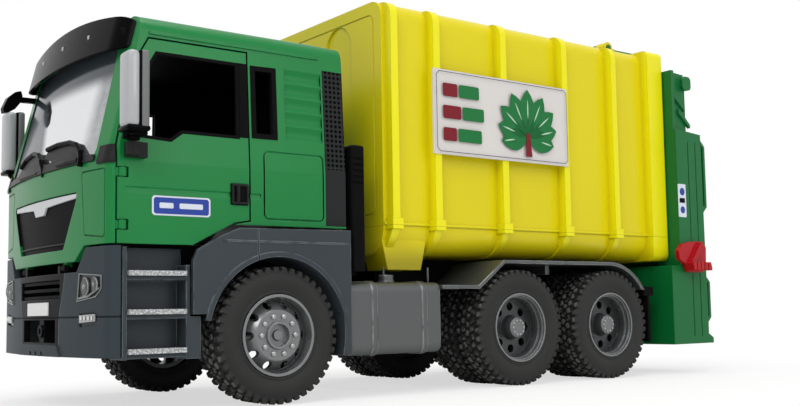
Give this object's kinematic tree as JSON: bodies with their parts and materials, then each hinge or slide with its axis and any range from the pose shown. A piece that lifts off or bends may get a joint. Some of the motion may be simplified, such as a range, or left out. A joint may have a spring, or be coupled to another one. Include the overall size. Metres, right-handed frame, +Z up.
{
  "type": "toy garbage truck",
  "caption": "Toy rear-loading garbage truck with a tilting cab, opening doors, a ribbed container, a lifting tailgate, a packing paddle and a bin lifter.",
  "frame": {"origin": "on the ground under the middle of the whole toy", "axes": "+X runs forward to the cab, +Y to the truck's left side, +Z up"},
  "size_m": [0.4344, 0.185, 0.2265],
  "materials": {
    "black_plastic": "matte moulded plastic",
    "clear_glass": "clear plastic",
    "gloss_black": "polished plastic",
    "green_plastic": "satin moulded plastic",
    "red_plastic": "red moulded plastic",
    "rim_grey": "silver-grey moulded plastic",
    "silver_grey": "silver-grey moulded plastic",
    "silver_plastic": "silver printed plastic",
    "slate_plastic": "matte moulded plastic",
    "tyre_rubber": "soft black tyre",
    "white_board": "white plastic board with a printed border",
    "yellow_plastic": "satin moulded plastic"
  },
  "bodies": {
    "chassis": {"air_intake": "black_plastic", "battery_box": "silver_grey", "bumper": "slate_plastic", "bumper_grille": "black_plastic", "chassis_frame": "black_plastic", "container_body": "yellow_plastic", "engine_block": "black_plastic", "fog_lamps": "clear_glass", "front_axle": "black_plastic", "front_fenders": "slate_plastic", "fuel_tank": "silver_grey", "headlights": "clear_glass", "mud_flaps": "black_plastic", "number_plate": "white_board", "rear_axle_first": "black_plastic", "rear_axle_second": "black_plastic", "rear_mudguards": "silver_grey", "sign_boards": "white_board", "step_treads": "silver_plastic", "steps": "slate_plastic"},
    "front_wheel_left": {"front_tyre_left": "tyre_rubber", "front_rim_left": "rim_grey"},
    "first_rear_wheel_left": {"first_rear_tyres_left": "tyre_rubber", "first_rear_rim_left": "rim_grey"},
    "second_rear_wheel_left": {"second_rear_tyres_left": "tyre_rubber", "second_rear_rim_left": "rim_grey"},
    "door_left": {"door_left": "green_plastic", "door_handle_left": "black_plastic", "mirror_base_left": "black_plastic"},
    "mirror_left": {"mirror_left": "black_plastic"},
    "front_wheel_right": {"front_tyre_right": "tyre_rubber", "front_rim_right": "rim_grey"},
    "first_rear_wheel_right": {"first_rear_tyres_right": "tyre_rubber", "first_rear_rim_right": "rim_grey"},
    "second_rear_wheel_right": {"second_rear_tyres_right": "tyre_rubber", "second_rear_rim_right": "rim_grey"},
    "door_right": {"door_right": "green_plastic", "door_handle_right": "black_plastic", "mirror_base_right": "black_plastic"},
    "mirror_right": {"mirror_right": "black_plastic"},
    "cab": {"cab_shell": "green_plastic", "cab_floor": "black_plastic", "dashboard": "black_plastic", "seats": "black_plastic", "steering_wheel": "black_plastic", "windscreen": "clear_glass", "front_grille": "black_plastic", "grille_trim": "silver_plastic", "wiper_cowl": "black_plastic", "sun_visor": "gloss_black", "front_mirror": "gloss_black", "pillar_caps": "black_plastic", "corner_grilles": "black_plastic"},
    "tailgate": {"tailgate_shell": "green_plastic"},
    "paddle": {"packer_paddle": "green_plastic", "crank_handle": "red_plastic"},
    "lifter": {"bin_lifter": "green_plastic"}
  },
  "joints": [
    {"name": "front_wheel_spin_left", "type": "hinge", "parent": "chassis", "child": "front_wheel_left", "pos_m": [0.124, 0.065, 0.034], "axis": [0, 1, 0], "continuous": true},
    {"name": "first_rear_wheel_spin_left", "type": "hinge", "parent": "chassis", "child": "first_rear_wheel_left", "pos_m": [-0.0395, 0.055, 0.034], "axis": [0, 1, 0], "continuous": true},
    {"name": "second_rear_wheel_spin_left", "type": "hinge", "parent": "chassis", "child": "second_rear_wheel_left", "pos_m": [-0.118, 0.055, 0.034], "axis": [0, 1, 0], "continuous": true},
    {"name": "door_hinge_left", "type": "hinge", "parent": "cab", "child": "door_left", "pos_m": [0.2035, 0.073, 0.125], "axis": [0, 0, -1], "range_deg": [0, 60]},
    {"name": "mirror_fold_left", "type": "hinge", "parent": "door_left", "child": "mirror_left", "pos_m": [0.201, 0.079, 0.125], "axis": [0, 0, 1], "range_deg": [0, 60]},
    {"name": "front_wheel_spin_right", "type": "hinge", "parent": "chassis", "child": "front_wheel_right", "pos_m": [0.124, -0.065, 0.034], "axis": [0, 1, 0], "continuous": true},
    {"name": "first_rear_wheel_spin_right", "type": "hinge", "parent": "chassis", "child": "first_rear_wheel_right", "pos_m": [-0.0395, -0.055, 0.034], "axis": [0, 1, 0], "continuous": true},
    {"name": "second_rear_wheel_spin_right", "type": "hinge", "parent": "chassis", "child": "second_rear_wheel_right", "pos_m": [-0.118, -0.055, 0.034], "axis": [0, 1, 0], "continuous": true},
    {"name": "door_hinge_right", "type": "hinge", "parent": "cab", "child": "door_right", "pos_m": [0.2035, -0.073, 0.125], "axis": [0, 0, 1], "range_deg": [0, 60]},
    {"name": "mirror_fold_right", "type": "hinge", "parent": "door_right", "child": "mirror_right", "pos_m": [0.201, -0.079, 0.125], "axis": [0, 0, -1], "range_deg": [0, 60]},
    {"name": "cab_tilt", "type": "hinge", "parent": "chassis", "child": "cab", "pos_m": [0.2126, 0, 0.068], "axis": [0, 1, 0], "range_deg": [0, 50]},
    {"name": "tailgate_lift", "type": "hinge", "parent": "chassis", "child": "tailgate", "pos_m": [-0.152, 0, 0.2225], "axis": [0, 1, 0], "range_deg": [0, 75]},
    {"name": "paddle_spin", "type": "hinge", "parent": "tailgate", "child": "paddle", "pos_m": [-0.195, 0, 0.076], "axis": [0, 1, 0], "continuous": true},
    {"name": "lifter_swing", "type": "hinge", "parent": "tailgate", "child": "lifter", "pos_m": [-0.2148, 0, 0.0665], "axis": [0, 1, 0], "range_deg": [0, 100]}
  ]
}
